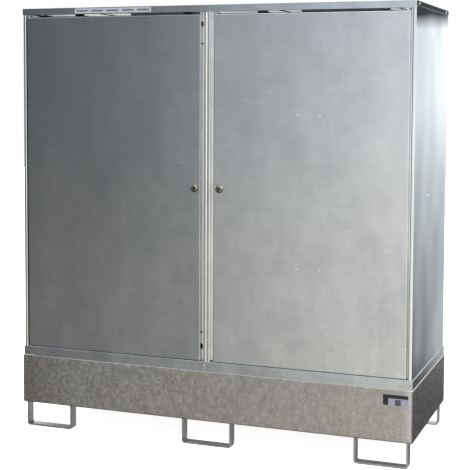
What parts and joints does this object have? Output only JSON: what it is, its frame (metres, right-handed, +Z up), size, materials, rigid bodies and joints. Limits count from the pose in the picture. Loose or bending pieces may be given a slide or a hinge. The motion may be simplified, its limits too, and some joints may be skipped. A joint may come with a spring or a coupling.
{
  "type": "dangerous goods storage cabinet",
  "caption": "Steel cabinet for dangerous goods: hinged doors with locks over a welded spill sump on bent bar feet, with shelves and lift-out gratings.",
  "frame": {"origin": "on the floor, under the middle of the whole cabinet's bounding box", "axes": "+X along the front to the right as seen by a user at the doors, +Y from the front to the back, +Z up"},
  "size_m": [1.704, 0.689, 1.7985],
  "materials": {
    "door_sheet": "galvanised sheet with fine rolling lines, satin",
    "wall_sheet": "galvanised sheet, satin",
    "roof_sheet": "galvanised sheet, satin",
    "frame_sheet": "galvanised sheet, satin",
    "sump_plate": "hot-dip galvanised plate, mottled spangle, matt",
    "foot_bar": "hot-dip galvanised flat bar, matt",
    "grating_bars": "hot-dip galvanised bars, matt",
    "shelf_sheet": "galvanised sheet, satin",
    "bracket_steel": "zinc plated steel, satin",
    "pin_steel": "bright turned steel",
    "lock_zinc": "nickel plated zinc casting, polished",
    "core_zinc": "nickel plated zinc, satin",
    "rivet_metal": "plain aluminium, satin",
    "screw_metal": "zinc plated steel, bright",
    "buffer_rubber": "black moulded rubber, matt",
    "label_film": "bare adhesive film, satin"
  },
  "bodies": {
    "cabinet": {"sump": "sump_plate", "sump_ends": "sump_plate", "sump_rim": "sump_plate", "grating_ledges": "sump_plate", "base_frame": "frame_sheet", "frame_tie": "frame_sheet", "frame_bolts": "screw_metal", "thrust_washers": "pin_steel", "door_buffers": "buffer_rubber", "support_rivets": "rivet_metal", "roof_screws": "screw_metal", "label_strip": "label_film", "door_sills": "frame_sheet", "wall_cleats": "bracket_steel", "front_left_foot": "foot_bar", "front_middle_foot": "foot_bar", "front_right_foot": "foot_bar", "rear_left_foot": "foot_bar", "rear_middle_foot": "foot_bar", "rear_right_foot": "foot_bar", "left_centre_wall": "wall_sheet", "left_side_wall": "wall_sheet", "left_rear_wall": "wall_sheet", "left_roof": "roof_sheet", "left_roof_stiffeners": "roof_sheet", "left_pivot_brackets": "bracket_steel", "left_pivot_pins": "pin_steel", "left_shelf_supports": "shelf_sheet", "right_centre_wall": "wall_sheet", "right_side_wall": "wall_sheet", "right_rear_wall": "wall_sheet", "right_roof": "roof_sheet", "right_roof_stiffeners": "roof_sheet", "right_pivot_brackets": "bracket_steel", "right_pivot_pins": "pin_steel", "right_shelf_supports": "shelf_sheet"},
    "left_door_leaf": {"left_door": "door_sheet", "left_door_stiffener": "shelf_sheet", "left_door_rivets": "rivet_metal", "left_door_bearings": "bracket_steel", "left_lock_body": "lock_zinc", "left_lock_nut": "bracket_steel"},
    "left_lock": {"left_lock_core": "core_zinc", "left_lock_cam": "bracket_steel", "left_cam_screw": "screw_metal"},
    "left_floor_grating": {"left_grating": "grating_bars"},
    "left_lower_shelf_tray": {"left_lower_shelf": "shelf_sheet"},
    "left_upper_shelf_tray": {"left_upper_shelf": "shelf_sheet"},
    "right_door_leaf": {"right_door": "door_sheet", "right_door_stiffener": "shelf_sheet", "right_door_rivets": "rivet_metal", "right_door_bearings": "bracket_steel", "right_lock_body": "lock_zinc", "right_lock_nut": "bracket_steel"},
    "right_lock": {"right_lock_core": "core_zinc", "right_lock_cam": "bracket_steel", "right_cam_screw": "screw_metal"},
    "right_floor_grating": {"right_grating": "grating_bars"},
    "right_lower_shelf_tray": {"right_lower_shelf": "shelf_sheet"},
    "right_upper_shelf_tray": {"right_upper_shelf": "shelf_sheet"}
  },
  "joints": [
    {"name": "left_door_hinge", "type": "hinge", "parent": "cabinet", "child": "left_door_leaf", "pos_m": [-0.8175, -0.32675, 1.0555], "axis": [0, 0, -1], "range_deg": [0, 110]},
    {"name": "left_lock_turn", "type": "hinge", "parent": "left_door_leaf", "child": "left_lock", "pos_m": [-0.054, -0.3355, 1.059], "axis": [0, 1, 0], "range_deg": [0, 90]},
    {"name": "left_grating_lift", "type": "slide", "parent": "cabinet", "child": "left_floor_grating", "axis": [0, 0, 1], "range_m": [0, 0.1]},
    {"name": "left_lower_shelf_lift", "type": "slide", "parent": "cabinet", "child": "left_lower_shelf_tray", "axis": [0, 0, 1], "range_m": [0, 0.06]},
    {"name": "left_upper_shelf_lift", "type": "slide", "parent": "cabinet", "child": "left_upper_shelf_tray", "axis": [0, 0, 1], "range_m": [0, 0.06]},
    {"name": "right_door_hinge", "type": "hinge", "parent": "cabinet", "child": "right_door_leaf", "pos_m": [0.8175, -0.32675, 1.0555], "axis": [0, 0, 1], "range_deg": [0, 110]},
    {"name": "right_lock_turn", "type": "hinge", "parent": "right_door_leaf", "child": "right_lock", "pos_m": [0.054, -0.3355, 1.059], "axis": [0, -1, 0], "range_deg": [0, 90]},
    {"name": "right_grating_lift", "type": "slide", "parent": "cabinet", "child": "right_floor_grating", "axis": [0, 0, 1], "range_m": [0, 0.1]},
    {"name": "right_lower_shelf_lift", "type": "slide", "parent": "cabinet", "child": "right_lower_shelf_tray", "axis": [0, 0, 1], "range_m": [0, 0.06]},
    {"name": "right_upper_shelf_lift", "type": "slide", "parent": "cabinet", "child": "right_upper_shelf_tray", "axis": [0, 0, 1], "range_m": [0, 0.06]}
  ]
}
